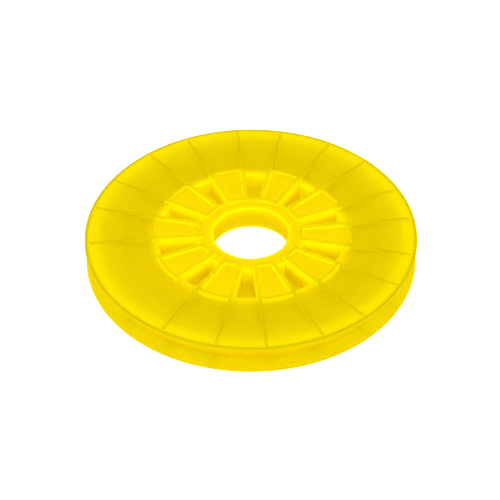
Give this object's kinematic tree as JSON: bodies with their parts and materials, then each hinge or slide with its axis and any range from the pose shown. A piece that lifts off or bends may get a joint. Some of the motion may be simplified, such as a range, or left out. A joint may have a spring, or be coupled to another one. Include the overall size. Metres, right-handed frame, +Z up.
{
  "type": "grooved ribbed disc ring",
  "caption": "Thick ribbed plastic disc ring with a central bore, raised trays, deep pockets and a square groove round the rim.",
  "frame": {"origin": "middle of the plane that the disc rests on, on the axis of the bore", "axes": "+Z up along the axis of the bore, +X through the middle of a tray of the upper disc"},
  "size_m": [0.24, 0.24, 0.0222],
  "materials": {
    "disc_plastic": "satin translucent moulded",
    "hoop_plastic": "satin translucent moulded",
    "sleeve_plastic": "satin translucent moulded"
  },
  "bodies": {
    "root": {"upper_disc": "disc_plastic", "lower_disc": "disc_plastic", "rim_hoop": "hoop_plastic", "hub_sleeve": "sleeve_plastic"}
  },
  "joints": []
}
